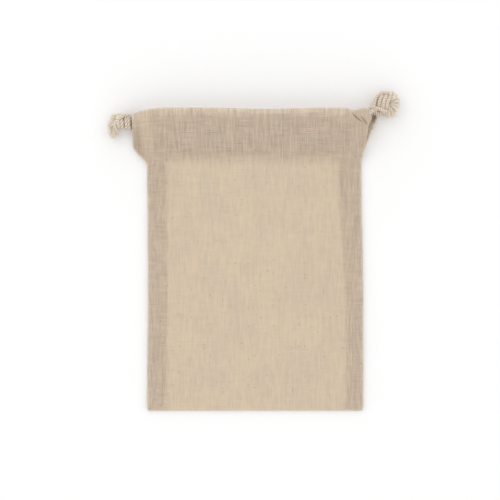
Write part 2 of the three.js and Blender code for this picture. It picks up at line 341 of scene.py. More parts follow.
def sampled(points, count):
    # a smooth line through the points, cut into the same number of rings for every strand
    curve = smoothPath(points, 0.1)
    place = np.linspace(0, len(curve) - 1, count)
    return np.stack([np.interp(place, np.arange(len(curve)), curve[:, i]) for i in range(3)], 1)


def makeKnot(side, settings, strands, core, material):
    # strands of cord round a thicker core that fills the middle of the knot
    paths = np.array([sampled(route, settings["rings"]) for route in [*strands, core]])
    paths = paths + middleOf(f"{side}_knot")
    radii = np.array([[settings["strand"]]] * len(strands) + [[settings["core"]]])
    piece = makeTubes(f"{side}Knot", paths, radii, 24, settings["twist"], settings["tone"])
    return finishPiece(piece, f"{side}_cord", [f"{side}_knot"], material)


def leftWraps(shift):
    # (x, y, z) = (x(a), wrapY sin a, wrapZ cos a): twice down the front and up behind, the
    # front passes sloping a little and the back ones more
    first, second = leftKnot["wrapX"]
    slope, wound = leftKnot["slope"], leftKnot["wound"]
    turned = np.linspace(0, wound, 34)
    xs = np.interp(turned, [0, 180, 360, 540, wound],
                   [first - slope, first + slope, second - slope, second + slope, second])
    xs = xs + shift * np.interp(turned, [0, wound], leftKnot["spread"])
    angle = np.radians(90 - turned)
    return np.column_stack([xs, leftKnot["wrapY"] * np.sin(angle),
                            leftKnot["wrapZ"] * np.cos(angle)])


def makeLeftKnot(material):
    # the doubled cord wrapped side by side, one strand bridging it above and one passing below
    bridge = [(4.6, 1.6, 1.9), (3.0, 2.5, 2.3), (1.1, 2.6, 2.9), (-0.6, 1.9, 3.4),
              (-2.0, 0.8, 3.3), (-3.0, -0.2, 2.2), (-3.6, -0.6, 0.8)]
    under = [(5.4, -0.6, -1.0), (3.8, -1.4, -0.9), (2.2, -2.3, -1.0), (0.2, -2.2, -1.7),
             (-2.0, -1.2, -1.9), (-3.4, -0.2, -1.0)]
    core = [(3.2, 0.6, 0), (1.0, 0.2, 0), (-1.2, 0, 0), (-3.0, 0, 0)]
    strands = [leftWraps(1), leftWraps(-1), bridge, under]
    return makeKnot("left", leftKnot, strands, core, material)


def makeRightKnot(material):
    # an outer loop of the doubled cord, a smaller loop curled inside it and a band round the neck
    outerHigh = [(-6.0, -3.9, 1.6), (-5.0, -1.9, 2.0), (-4.4, 0.4, 2.1), (-3.3, 2.6, 2.0),
                 (-1.2, 3.9, 1.8), (1.2, 3.7, 1.6), (3.0, 2.2, 1.3), (3.6, 0.2, 1.0),
                 (2.9, -1.6, 0.2), (1.5, -2.6, -1.2)]
    outerLow = [(-5.6, -4.4, -0.4), (-4.9, -1.3, -0.7), (-3.9, 1.8, -0.8), (-1.6, 3.9, -0.9),
                (1.3, 4.0, -1.0), (3.4, 2.4, -1.2), (4.0, 0.0, -1.4), (3.2, -2.2, -2.0)]
    neck = [(-6.6, -2.6, 1.5), (-5.0, -2.9, 2.5), (-3.0, -3.3, 3.0), (-0.8, -4.1, 2.8),
            (1.0, -4.6, 1.8), (2.2, -5.2, 0.4)]
    neckUnder = [(-6.1, -3.9, 0.9), (-4.3, -4.9, 1.0), (-2.3, -5.9, 0.3), (-0.3, -5.8, -0.7),
                 (1.8, -5.3, -1.2)]
    neckLow = [(-6.2, -3.8, -0.2), (-4.4, -4.4, -0.1), (-2.4, -4.8, 0.4), (-0.2, -4.9, 0.2),
               (1.6, -5.0, -0.6)]
    inner = [(-2.5, -2.7, 2.0), (-2.6, -0.6, 3.2), (-2.1, 1.1, 3.4), (-1.0, 2.6, 2.5)]
    middle = [(-1.0, -3.1, 2.2), (-0.9, -1.1, 3.8), (-0.2, 0.9, 3.9), (0.8, 2.6, 2.5)]
    last = [(0.7, -3.1, 1.9), (0.9, -1.3, 3.5), (1.5, 0.5, 3.6), (2.6, 1.9, 2.1)]
    base = [(-4.4, -2.9, -3.2), (-3.6, 0.8, -3.4), (-1.0, 2.7, -3.4), (1.9, 1.6, -3.4),
            (2.5, -1.0, -3.4), (0.4, -3.0, -3.3), (-2.2, -3.6, -3.2)]
    core = [(-3.6, -2.2, -0.6), (-1.6, -0.9, 0.2), (0.4, 0.4, 0.2), (1.6, 0.9, 0)]
    strands = [outerHigh, outerLow, neck, neckUnder, neckLow, inner, middle, last, base]
    return makeKnot("right", rightKnot, strands, core, material)


# Tufts: the cords' frayed ends, in clumps of loose yarn with finer fibres among them

tuft = {
    "rings": 14, "tip": 0.55, "yarns": 11, "yarnRadius": 0.2, "spread": (0.3, 0.46), "wave": 0.13,
    "fibres": 26, "fibreRadius": 0.035, "fibreSpread": (0.5, 1.15), "fibreWave": 0.42,
}


def clumpLines(roots, headings, ends, endHeadings):
    # cubic Bezier curves from root to end, one for each clump
    t = np.linspace(0, 1, tuft["rings"])[None, :, None]
    reach = np.linalg.norm(ends - roots, axis=1)[:, None]
    second = roots + headings * reach * 0.4
    third = ends - endHeadings * reach * 0.38
    return ((1 - t) ** 3 * roots[:, None] + 3 * t * (1 - t) ** 2 * second[:, None]
            + 3 * t ** 2 * (1 - t) * third[:, None] + t ** 3 * ends[:, None])


def yarnsAlong(random, lines, each, spreadFrom, spreadTo, wave):
    # yarns of one clump start together, part along the way and waver a little
    k, n = lines.shape[:2]
    normal, binormal = carriedFrames(lines)
    angle = random.uniform(0, 2 * np.pi, (k, each, 1))
    away = np.sqrt(random.uniform(0, 1, (k, each, 1)))
    t = np.linspace(0, 1, n)
    reach = away * (spreadFrom + (spreadTo - spreadFrom) * t)
    phase = random.uniform(0, 2 * np.pi, (2, k, each, 1))
    pace = random.uniform(4, 9, (2, k, each, 1))
    sway = wave * t * np.sin(pace * t + phase)
    side = (reach * np.cos(angle) + sway[0])[..., None] * normal[:, None]
    side = side + (reach * np.sin(angle) + sway[1])[..., None] * binormal[:, None]
    cut = random.uniform(0.86, 1.04, (k, each, 1, 1))
    start = lines[:, None, :1]
    paths = (lines[:, None] + side - start) * (1 + (cut - 1) * t[:, None] ** 2) + start
    return paths.reshape(k * each, n, 3)


def makeTuft(side, seed, roots, headings, ends, endHeadings, material):
    random = np.random.default_rng(seed)
    lines = clumpLines(roots, headings, ends, endHeadings)
    taper = np.linspace(1, tuft["tip"], tuft["rings"])
    yarns = yarnsAlong(random, lines, tuft["yarns"], *tuft["spread"], tuft["wave"])
    yarns[..., 2] = np.maximum(yarns[..., 2], 0.25)  # nothing goes through the floor
    radii = tuft["yarnRadius"] * random.uniform(0.7, 1.25, (len(yarns), 1)) * taper
    tones = np.repeat(random.uniform(0, 1, len(lines)), tuft["yarns"])
    piece = makeTubes(f"{side}Tuft", yarns, radii, 6, tones=tones)
    fibres = yarnsAlong(random, lines, tuft["fibres"], *tuft["fibreSpread"], tuft["fibreWave"])
    fibres[..., 2] = np.maximum(fibres[..., 2], 0.05)
    fine = makeTubes(f"{side}TuftFibres", fibres, tuft["fibreRadius"] * taper, 3)
    return [finishPiece(made, f"{side}_cord", [f"{side}_tuft"], material)
            for made in (piece, fine)]


def makeLeftTuft(material):
    # most clumps bend down towards the sack's bottom, a few stand up beside the knot
    random = np.random.default_rng(5)
    across = np.concatenate([np.linspace(-1, 1, 9), np.linspace(-0.8, 0.8, 6)])
    depth = np.concatenate([np.tile([1.3, 0.4], 5)[:9], np.full(6, -1.3)])
    low = np.column_stack([-4.3 + 2.0 * across, -7.6 + 1.6 * across ** 2, depth])
    left = np.array([(-6.6, -4.0, 0.5), (-6.9, -2.4, -0.9), (-6.6, -1.0, 0.8), (-6.1, -5.2, 1.4),
                     (-5.9, 0.4, 1.5), (-6.2, -3.0, 2.0)])
    high = np.array([(-4.7, 2.9, 0.9), (-4.0, 3.4, 0.0), (-5.4, 2.0, -0.8), (-4.3, 2.3, 1.9),
                     (-5.2, 2.6, 0.4)])
    ends = np.vstack([low, left, high])
    ends = ends + random.uniform(-0.25, 0.25, ends.shape)
    angle = random.uniform(0, 2 * np.pi, len(ends))
    root = np.column_stack([np.full(len(ends), -2.6), 1.7 * np.cos(angle), 1.4 * np.sin(angle)])
    heading = np.tile([-1.0, -0.15, 0.1], (len(ends), 1))
    endHeading = unit(ends - np.array([-4.3, 0.6, 0]))
    place = middleOf("left_knot")
    return makeTuft("left", 11, root + place, unit(heading), ends + place, endHeading, material)


def makeRightTuft(material):
    # a fan from straight up, round the knot's outer side, to straight down
    random = np.random.default_rng(8)
    degrees = np.concatenate([np.linspace(84, -98, 15), np.linspace(70, -95, 12)])
    count = len(degrees)
    reach = np.interp(-degrees, [-84, -45, -15, 15, 45, 70, 98],
                      [5.3, 4.8, 4.4, 4.6, 5.4, 6.8, 7.3])
    depth = np.concatenate([np.tile([2.4, 1.2], 8)[:15], np.tile([-1.2, -2.8], 6)])[:, None]
    angle = np.radians(degrees + random.uniform(-5, 5, count))
    out = np.column_stack([np.cos(angle), np.sin(angle), 0 * angle])
    ends = np.array([2.2, -0.2, 0.4]) + out * reach[:, None] + depth * [0, 0, 1.0]
    ends = ends + random.uniform(-0.3, 0.3, (count, 3))
    bend = np.radians(degrees * 0.55)
    heading = np.column_stack([np.cos(bend), np.sin(bend), depth * 0.12])
    root = np.array([1.2, -0.4, 0]) + 1.2 * out + depth * [0, 0, 0.7]
    place = middleOf("right_knot")
    return makeTuft("right", 12, root + place, unit(heading), ends + place, unit(out), material)


# Fuzz: single fibres that stand off the knots

fuzz = {"count": 170, "rings": 8, "radius": 0.028, "length": (0.9, 2.2), "stand": 0.45, "bow": 0.7}


def makeFuzz(side, seed, radii, material):
    # start + length (t along + stand t (1 - t / 2) out + bow t^2 third), starts on an ellipsoid
    random = np.random.default_rng(seed)
    out = unit(random.normal(size=(fuzz["count"], 3)))
    along = unit(np.cross(out, random.normal(size=(fuzz["count"], 3))))
    length = random.uniform(*fuzz["length"], (fuzz["count"], 1, 1))
    t = np.linspace(0, 1, fuzz["rings"])[None, :, None]
    bow = random.uniform(-fuzz["bow"], fuzz["bow"], (fuzz["count"], 1, 1))
    third = np.cross(out, along)[:, None]
    curl = fuzz["stand"] * t * (1 - 0.5 * t) * out[:, None] + bow * t ** 2 * third
    lines = (out * radii)[:, None] + length * (t * along[:, None] + curl)
    lines = lines + middleOf(f"{side}_knot")
    lines[..., 2] = np.maximum(lines[..., 2], 0.04)
    taper = np.linspace(1, 0.5, fuzz["rings"])
    piece = makeTubes(f"{side}KnotFuzz", lines, fuzz["radius"] * taper, 3)
    return finishPiece(piece, f"{side}_cord", [f"{side}_knot"], material)


# Calico: sizes are in millimetres of cloth, and pairs are across and along the strip

calico = {
    # lip and edge are painted highlights where the mouth's fold and the cloth's edges catch the
    # light
    "warm": "D6C3AA", "cool": "D2C0A9", "doubled": "C0AE9B", "lip": "D6C5B0",
    "edge": "DACFC0", "seed": "7E6040",
    "yarn": 0.5,  # between yarns: a little coarser than real calico, so that it shows
    "slub": 9, "apart": 0.27,  # a yarn's thick and thin run, and how unlike its neighbour it is
    "patch": (13, 18), "patchEdge": (0.35, 0.65), "mottle": (2.4, 3.6), "mottleShade": 0.09,
    "yarnShade": 0.26, "pliesShade": 0.46, "warpGain": 0.7, "roundShade": 0.10, "floor": 0.892,
    "speckEvery": 2.9, "speckSize": (0.11, 0.04), "speckChoice": (0.86, 0.97), "speckDepth": 0.75,
    "bump": 0.09,
}


def cloud(tree, x, y, size, detail=2.0):
    # soft noise whose blots are about size mm across and along
    scaledX = addNode(tree, "Math", {0: x, 1: size[0]}, operation="DIVIDE")
    scaledY = addNode(tree, "Math", {0: y, 1: size[1]}, operation="DIVIDE")
    place = addNode(tree, "CombineXYZ", {0: scaledX, 1: scaledY})
    return addNode(tree, "TexNoise", {"Vector": place, "Scale": 1.0, "Detail": detail},
                   noise_dimensions="2D")


def countYarns(tree, across):
    # how many yarns lie between here and the strip's middle, the whole number of them, and the
    # round section of the yarn here: |sin(pi count)|
    count = addNode(tree, "Math", {0: across, 1: calico["yarn"]}, operation="DIVIDE")
    number = addNode(tree, "Math", {0: count}, operation="FLOOR")
    turned = addNode(tree, "Math", {0: count, 1: np.pi}, operation="MULTIPLY")
    wave = addNode(tree, "Math", {0: turned}, operation="SINE")
    return count, number, addNode(tree, "Math", {0: wave}, operation="ABSOLUTE")


def seedSpecks(tree, uv):
    # one dark fleck in a few of the cells that the cloth is divided into
    spot = addNode(tree, "TexVoronoi", {"Vector": uv, "Scale": 1 / calico["speckEvery"]},
                   voronoi_dimensions="2D")
    pick = addNode(tree, "SeparateColor", {0: spot.outputs["Color"]})
    edge, middle = calico["speckSize"]
    near = addNode(tree, "MapRange", {"Value": spot.outputs["Distance"], "From Min": edge,
                                      "From Max": middle, "To Max": calico["speckDepth"]},
                   interpolation_type="SMOOTHSTEP")
    fewest, most = calico["speckChoice"]
    chosen = addNode(tree, "MapRange", {"Value": pick, "From Min": fewest, "From Max": most},
                     interpolation_type="SMOOTHSTEP")
    return addNode(tree, "Math", {0: near, 1: chosen}, operation="MULTIPLY")


def calicoMaterial():
    # unbleached cotton in plain weave: matt and warm, each yarn a little lighter or darker than
    # the next, thick and thin along its length, with dark specks of cotton seed
    material, tree = newMaterial("unbleachedCalico")
    uv = addNode(tree, "UVMap", uv_map="clothMm")
    split = addNode(tree, "SeparateXYZ", {0: uv})
    across, along = split.outputs[0], split.outputs[1]
    warpCount, warpNumber, warpRound = countYarns(tree, across)
    weftCount, weftNumber, weftRound = countYarns(tree, along)
    warpSlub = cloud(tree, warpNumber, along, (calico["apart"], calico["slub"]))
    weftSlub = cloud(tree, across, weftNumber, (calico["slub"], calico["apart"]))
    # plain weave: on the white squares of a checker the warp lies on top, else the weft
    cells = addNode(tree, "CombineXYZ", {0: warpCount, 1: weftCount})
    warpOver = addNode(tree, "TexChecker", {"Vector": cells, "Scale": 1.0}).outputs[1]
    rounded = addNode(tree, "Mix", {0: warpOver, 2: weftRound, 3: warpRound})
    thick = addNode(tree, "Mix", {0: warpOver, 2: weftSlub, 3: warpSlub})
    # colour: soft patches, duller where plies lie on each other, and painted highlights where the
    # mouth's fold and the cloth's edges catch the light
    plies, lip, edge = (addNode(tree, "Attribute", attribute_name=name).outputs["Fac"]
                        for name in ("plies", "lip", "edge"))
    low, high = calico["patchEdge"]
    patch = addNode(tree, "MapRange", {"Value": cloud(tree, across, along, calico["patch"]),
                                       "From Min": low, "From Max": high},
                    interpolation_type="SMOOTHSTEP")
    colour = linear(calico["cool"])
    for share, name in ((patch, "warm"), (plies, "doubled"), (lip, "lip"), (edge, "edge")):
        colour = addNode(tree, "Mix", {0: share, 6: colour, 7: linear(calico[name])},
                         data_type="RGBA").outputs[2]
    # tone = floor + mottle + roundShade rounded + contrast (thick - 0.5), where the contrast is
    # stronger on the warp and where plies lie on each other
    mottle = cloud(tree, across, along, calico["mottle"], 3.0)
    mottled = addNode(tree, "Math", {0: mottle, 1: calico["mottleShade"], 2: calico["floor"]},
                      operation="MULTIPLY_ADD")
    # painted shade: each yarn is lighter on its round crown and darker where it dips beside the
    # next
    lit = addNode(tree, "Math", {0: rounded, 1: calico["roundShade"], 2: mottled},
                  operation="MULTIPLY_ADD")
    gain = addNode(tree, "Math", {0: warpOver, 1: calico["warpGain"], 2: 1.0},
                   operation="MULTIPLY_ADD")
    shade = addNode(tree, "Math", {0: plies, 1: calico["pliesShade"], 2: calico["yarnShade"]},
                    operation="MULTIPLY_ADD")
    contrast = addNode(tree, "Math", {0: gain, 1: shade}, operation="MULTIPLY")
    uneven = addNode(tree, "Math", {0: thick, 1: 0.5}, operation="SUBTRACT")
    tone = addNode(tree, "Math", {0: uneven, 1: contrast, 2: lit}, operation="MULTIPLY_ADD")
    colour = addNode(tree, "VectorMath", {0: colour, 3: tone}, operation="SCALE")
    colour = addNode(tree, "Mix", {0: seedSpecks(tree, uv), 6: colour, 7: linear(calico["seed"])},
                     data_type="RGBA").outputs[2]
    swell = addNode(tree, "Math", {0: thick, 1: 0.9, 2: 0.45}, operation="MULTIPLY_ADD")
    height = addNode(tree, "Math", {0: rounded, 1: swell}, operation="MULTIPLY")
    bump = addNode(tree, "Bump", {"Height": height, "Strength": 0.6,
                                  "Distance": calico["bump"] * mm})
    rough = addNode(tree, "Math", {0: rounded, 1: -0.08, 2: 0.97}, operation="MULTIPLY_ADD")
    finishSurface(tree, {"Base Color": colour, "Roughness": rough, "Normal": bump,
                         "Specular IOR Level": 0.25, "Sheen Weight": 0.1,
                         "Sheen Roughness": 0.5})
    return material


yarn = {"patch": 0.7, "fibre": 0.2, "bump": 0.06, "roughness": 0.94}  # the first three in mm


def yarnMaterial(name, light, dark, grooveShade, sheen):
    # spun cotton: matt, pale where fibres stand up, with painted shade down in the grooves of its
    # twist
    material, tree = newMaterial(name)
    place = addNode(tree, "TexCoord").outputs["Object"]
    tone = addNode(tree, "Attribute", attribute_name="tone").outputs["Fac"]
    groove = addNode(tree, "Attribute", attribute_name="groove").outputs["Fac"]
    patch = addNode(tree, "TexNoise", {"Vector": place, "Scale": 1 / (yarn["patch"] * mm),
                                       "Detail": 3.0})
    mixed = addNode(tree, "Math", {0: patch, 1: tone}, operation="ADD")
    spreadOut = addNode(tree, "MapRange", {"Value": mixed, "From Min": 0.6, "From Max": 1.4})
    colour = addNode(tree, "Mix", {0: spreadOut, 6: linear(dark), 7: linear(light)},
                     data_type="RGBA").outputs[2]
    # painted shade: darker colour down in the grooves between the twisted plies
    depth = addNode(tree, "MapRange", {"Value": groove, "From Min": 0.25, "From Max": 1.0})
    colour = addNode(tree, "Mix", {0: depth, 6: colour, 7: linear(grooveShade)},
                     data_type="RGBA").outputs[2]
    fine = addNode(tree, "TexNoise", {"Vector": place, "Scale": 1 / (yarn["fibre"] * mm),
                                      "Detail": 2.0})
    bump = addNode(tree, "Bump", {"Height": fine, "Strength": 0.6, "Distance": yarn["bump"] * mm})
    finishSurface(tree, {"Base Color": colour, "Roughness": yarn["roughness"], "Normal": bump,
                         "Specular IOR Level": 0.2, "Sheen Weight": sheen,
                         "Sheen Roughness": 0.5})
    return material


# Cloth: one strip from the front hem over the mouth, round the bottom and up to the back hem

strip = {
    "raw": 59.0, "length": 339,  # half of the strip's cut width, and its length
    "channelDepth": 3.8, "hemStack": 1.2, "hemTurn": 7.5, "innerHalf": 46.0, "turnGap": 0.24,
    "backInnerZ": 1.8, "backInnerRise": 2.0,  # the back channel's inner ply, at and past the hem
    "acrossStep": 0.85, "alongStep": 0.85, "foldSteps": 9,
    "fineStep": 0.38, "fineFrom": 0.8, "fineY": 60,  # finer where creases are sharp
    "handling": 0.16, "ripple": 0.07,
}
slitY = 43  # where a side seam ends and the free cloth of a mouth end begins
levelY = 63  # from here to the mouth the channel's outer ply is level

# millimetres from the middle to a side edge, and what each feature adds to that
sides = {
    "leftWaist": 49.3, "waistGain": 0.5, "leftFlare": 6.3, "backShort": 0.7, "leftTop": 0.35,
    "underKnot": 2.0, "knotFrom": 61, "knotTo": 68.2,
    "rightFoot": 50.0, "rightTaper": 0.9, "frontFlare": 2.8, "frontCorner": 1.6,
    "cornerAt": 65.6, "cornerWide": 2.8, "backFlare": 7.3, "backTurnIn": 1.3,
    "bottomRound": 0.35,
}
# width of the cloth turned in at an edge, and how much of it is cut away past the slit
allowance = {
    "left": 9.0, "leftCut": 5.8, "right": 7.9, "rightGain": 2.5, "rightCut": 7.2, "inner": 2.4,
}


def bell(x, centre, wide):
    return np.exp(-((x - centre) / wide) ** 2)


def leftEdge(y, back):
    # waist + gain ((y + 8) / 58)^2, then one smooth step out at the slit, and a rounded top. The
    # back one also reaches out under the knot.
    edge = sides["leftWaist"] + sides["waistGain"] * np.minimum(((y + 8) / 58) ** 2, 1)
    edge = edge + (sides["leftFlare"] - back * sides["backShort"]) * ease((y - slitY) / 9.5)
    window = ease((y - sides["knotFrom"]) / 1.2) * ease((sides["knotTo"] - y) / 1.2)
    return edge + back * sides["underKnot"] * window - sides["leftTop"] * ease((y - 66) / 4)


def rightEdge(y, back):
    # foot - taper, then front: a smooth step and a bell-shaped corner; back: a power curve
    edge = sides["rightFoot"] - sides["rightTaper"] * ease((y + 19) / 62)
    if back:
        out = np.clip((y - slitY) / 22, 0, 1) ** 1.5
        return edge + sides["backFlare"] * out - sides["backTurnIn"] * ease((y - 65) / 6)
    corner = sides["frontCorner"] * bell(y, sides["cornerAt"], sides["cornerWide"])
    return edge + sides["frontFlare"] * ease((y - 44) / 13) + corner


def clothEdge(side, y, back):
    # the edge of the front or back ply, rounded off at the bottom fold
    edge = leftEdge(y, back) if side == "left" else rightEdge(y, back)
    return edge - sides["bottomRound"] * ease((foldY + 3 - y) / 3)


def turnedIn(side, y):
    # the seam allowance, wider towards the top at the right, and narrow past the slit
    if side == "left":
        return allowance["left"] - allowance["leftCut"] * ease((y - slitY) / 7)
    width = allowance["right"] + allowance["rightGain"] * ease((y + 30) / 75)
    return width - allowance["rightCut"] * ease((y - 44.5) / 5.5)


def leg(fromY, toY, weight, lift=0.0, step=strip["alongStep"]):
    # a run of stations up or down the sack on one ply
    y = np.linspace(fromY, toY, int(abs(toY - fromY) / step) + 2)[:-1]
    return np.column_stack([y, np.tile(weight, (len(y), 1)), np.full(len(y), lift)])


def turn(atY, depth, first, second, liftFrom=0.0, liftTo=0.0):
    # half an ellipse from one ply to the next
    angle = np.linspace(0, np.pi, strip["foldSteps"] * 2)[:-1]
    part = (1 - np.cos(angle))[:, None] / 2
    weight = (1 - part) * np.array(first) + part * np.array(second)
    lift = liftFrom + (liftTo - liftFrom) * part[:, 0]
    return np.column_stack([atY + depth * np.sin(angle), weight, lift])


def stripStations():
    # rows of y, the weights of the four plies (back, back inner, front inner, front), and a lift
    back, backInner, frontInner, front = np.eye(4)
    edge, fineY = 2 * strip["turnGap"], strip["fineY"]
    hem, mouth, bottom, rawEdge = hemY + 0.6, mouthY - 1.1, foldY + 1.0, hemY + strip["hemTurn"]
    return np.vstack([
        leg(rawEdge, hem, frontInner, edge),
        turn(hem, -0.3, frontInner, frontInner, edge, 0),
        leg(hem, mouth, frontInner),
        turn(mouth, 0.9, frontInner, front),
        leg(mouth, fineY, front, step=strip["fineStep"]),
        leg(fineY, bottom, front),
        turn(bottom, -0.8, front, back),
        leg(bottom, mouth, back),
        turn(mouth, 0.9, back, backInner),
        leg(mouth, hem, backInner),
        turn(hem, -0.3, backInner, backInner, 0, -edge),
        leg(hem, rawEdge, backInner, -edge),
    ])


def middleTop(y):
    # top of the front along the sack's middle: up from the bottom fold, then up to the channel
    slack = 3.9  # how far the empty pouch stands open
    return sideTop + slack * ease((y - foldY - 1.5) / 20) + (topZ - sideTop - slack) * ease(y / 62)


def sideHeight(x, y):
    # top of the front near a side: level on the seam, then up to the channel. The free end past
    # the seam stays low for longer, and lies just clear of the back one.
    out = np.abs(x) - halfWidth
    later = np.where(x > 0, 14 * ease((out + 0.5) / 3), 11 * ease((out + 0.5) / 4))
    start = slitY - 5 * ease(-out / 6) + later
    base = sideTop + 0.7 * ease((out + 0.2) / 1.5)
    return base + (topZ - base) * ease((y - start) / (levelY - start))


def handling(x, y):
    # soft unevenness left by folding and packing: four long crossing waves
    waves = [(0.11, 0.07, 0.4), (-0.06, 0.13, 2.1), (0.19, -0.05, 4.0), (0.03, 0.24, 5.2)]
    total = sum(np.sin(a * x + b * y + c) for a, b, c in waves)
    return strip["handling"] * total / 2


def ripples(x, y):
    # faint upright waves where the channel has been gathered and let out again
    high = ease((y - 44) / 12)
    centreCalm = 1 - bell(x, 0, 5)
    wave = np.sin(0.84 * x + 1.3 * np.sin(0.09 * x + 0.05 * y)) * (0.7 + 0.3 * np.sin(0.21 * x))
    return strip["ripple"] * high * centreCalm * wave


def frontTop(x, y):
    # the front's upper face: its height near a side, blended into its height in the middle
    rise = ease((45 - np.abs(x)) / 20)
    side = sideHeight(x, y)
    top = side + (middleTop(y) - side) * rise
    inside = ease((halfWidth - 3 - np.abs(x)) / 8) * ease((y - foldY - 3) / 9)
    return top + handling(x, y) * inside * (1 - 0.6 * ease((y - 44) / 8)) + ripples(x, y)


# two short folds pulled into the right corner of the channel by its cord: ends, depth and width
pulledFolds = [((45.2, 67.7), (48.9, 63.6), 1.2, 0.36), ((48.9, 65.6), (51.3, 62.5), 1.0, 0.36)]


def creases(x, y):
    # for each fold, a narrow bell-shaped groove with a lower, wider ridge beside it
    total = np.zeros(np.broadcast(x, y).shape)
    for (x0, y0), (x1, y1), depth, wide in pulledFolds:
        length = np.hypot(x1 - x0, y1 - y0)
        ux, uy = (x1 - x0) / length, (y1 - y0) / length
        along = (x - x0) * ux + (y - y0) * uy
        across = (x - x0) * uy - (y - y0) * ux
        window = ease((along + 1.5) / 2) * ease((length + 1.5 - along) / 2.5)
        groove, ridge = -depth * bell(across, 0, wide), 0.5 * depth * bell(across, 1.1, 0.9)
        total = total + (groove + ridge) * window
    return total


# how far the back ply rises at the right opening: all of its free part, a soft curl, a narrow rim
opening = {"free": 1.0, "curl": 2.8, "rim": 2.7, "clear": 0.25}


def backRise(x, y):
    # each part is a product of smooth steps in x and y, so that it fades out on every side.
    # "clear" is room for stitches under the ply, over the hem's row and at the slits.
    out = x - halfWidth
    slits = ease((y - 49) / 2.5) * ease((np.abs(x) - 44) / 2.5)
    clear = np.maximum(bell(y, hemY + 1.2, 1.7), slits)
    free = ease((out + 0.5) / 2.5) * ease((y - 49) / 5) * ease((64.8 - y) / 2.4)
    curl = ease((out - 0.2) / 2) * ease((y - 54) / 4) * ease((65 - y) / 2.4)
    rim = ease((x - clothEdge("right", y, True) + 1.1) / 0.9)
    rim = rim * ease((y - 62.6) / 2.2) * ease((66.4 - y) / 1.2)
    parts = {"clear": clear, "free": free, "curl": curl, "rim": rim}
    return sum(opening[name] * part for name, part in parts.items())


def plyHeights(x, y):
    # middle heights of the back, back inner, front inner and front plies
    half = cloth / 2
    front = frontTop(x, y) - half
    channel = strip["hemStack"] + (strip["channelDepth"] - strip["hemStack"]) * ease((y - 50) / 10)
    frontInner = front - channel + cloth
    backInner = strip["backInnerZ"] - half + strip["backInnerRise"] * ease((y - 50) / 6) + 0 * x
    back = half + backRise(x, y)
    return back, backInner, frontInner, front + creases(x, y) * ease((y - 55) / 3)


mouthShape = {
    "short": 0.2, "leftFall": 2.9, "leftFrom": 40, "leftReach": 17,
    "sag": 0.6, "sagAt": 5, "sagWide": 17, "notch": 1.1, "notchAt": 45.6, "notchWide": 3.0,
    "rightFall": 0.5, "rightFrom": 49, "rightReach": 8,
}


def mouthDrop(x, y):
    # how far the mouth falls short of a straight line: a parabola at the left end, a shallow
    # bell in the middle, a notch where the cord pulls at the right; it fades down the channel
    m = mouthShape
    left = m["leftFall"] * np.clip((-x - m["leftFrom"]) / m["leftReach"], 0, 1.1) ** 2
    sag = m["sag"] * bell(x, m["sagAt"], m["sagWide"])
    notch = m["notch"] * bell(x, m["notchAt"], m["notchWide"])
    right = m["rightFall"] * ease((x - m["rightFrom"]) / m["rightReach"])
    return (m["short"] + left + sag + notch + right) * ease((y - 54) / 15)


def halfWidths(side, y, weights):
    # at each station, the middle to the edge, and how far the cloth is turned in there
    inner = weights[:, 1] + weights[:, 2]
    front, back = clothEdge(side, y, False), clothEdge(side, y, True)
    half = weights[:, 3] * front + weights[:, 0] * back + inner * strip["innerHalf"]
    return half, (1 - inner) * turnedIn(side, y) + inner * allowance["inner"]


def acrossColumns(half, turned):
    # place across the sack, cloth coordinate and share of the turn, from the middle outwards:
    # flat, round the edge and back under. The first column lies past the middle, so that both
    # halves find the same slope on the middle line, and it is left out of the mesh.
    radius, fineFrom = strip["turnGap"], strip["fineFrom"]
    flat = np.linspace(0, fineFrom, int(fineFrom * halfWidth / strip["acrossStep"]))[:-1]
    fine = np.linspace(fineFrom, 1, int((1 - fineFrom) * halfWidth / strip["fineStep"]))
    flat = np.concatenate([flat, fine])
    angle = np.linspace(0, np.pi, 7)[1:-1]
    under = np.linspace(0, 1, 10)
    reach = (half - radius)[:, None]
    past = np.full((len(half), 1), -0.5)
    x = np.hstack([past, reach * flat, reach + radius * np.sin(angle),
                   reach - turned[:, None] * under])
    u = np.hstack([past, reach * flat, reach + radius * angle,
                   reach + radius * np.pi + turned[:, None] * under])
    share = np.concatenate([[0], 0 * flat, (1 - np.cos(angle)) / 2, 1 + 0 * under])
    return x, u, np.broadcast_to(share, x.shape)


def stripSurface(side):
    # places, cloth coordinates and values of every grid point of one half of the strip. Height
    # is the weighted sum of the plies' heights, and what is turned in lies on the wrong side.
    sign = 1 if side == "right" else -1
    rows = stripStations()
    y, weights, lift = rows[:, 0], rows[:, 1:5], rows[:, 5]
    half, turned = halfWidths(side, y, weights)
    x, u, share = acrossColumns(half, turned)
    yGrid = np.broadcast_to(y[:, None], x.shape)
    plies = plyHeights(sign * x, yGrid)
    z = sum(weights[:, i][:, None] * plies[i] for i in range(4)) + lift[:, None]
    yPlace = yGrid - mouthDrop(sign * x, yGrid)
    rise, run = np.gradient(z, axis=0), np.gradient(yPlace, axis=0)
    wrongSide = unit(np.stack([-rise, run], axis=-1))  # towards the inside of each fold
    offset = (2 * strip["turnGap"] * share)[..., None] * wrongSide
    yPlace, z = yPlace + offset[..., 0], z + offset[..., 1]
    places = np.stack([sign * x, yPlace, z], axis=-1)
    steps = np.hypot(np.diff(y), np.diff(z[:, 1]))
    v = np.broadcast_to(np.concatenate([[0], np.cumsum(steps)])[:, None], x.shape)
    values = clothValues(sign * x, yGrid, weights, share, half, turned)
    return places, np.stack([sign * u, v], axis=-1), values


# how much each feature shows, from 0 to 1, and how wide it is in mm
shading = {
    "doubled": 0.78, "lipWide": 3.2, "highlightWide": 0.5,
    # the side, slit, mouth and fold values set painted highlights along edges that catch the light
    "sideHighlight": 0.8, "slitHighlight": 0.5, "mouthHighlight": 0.6, "foldHighlight": 0.5,
}


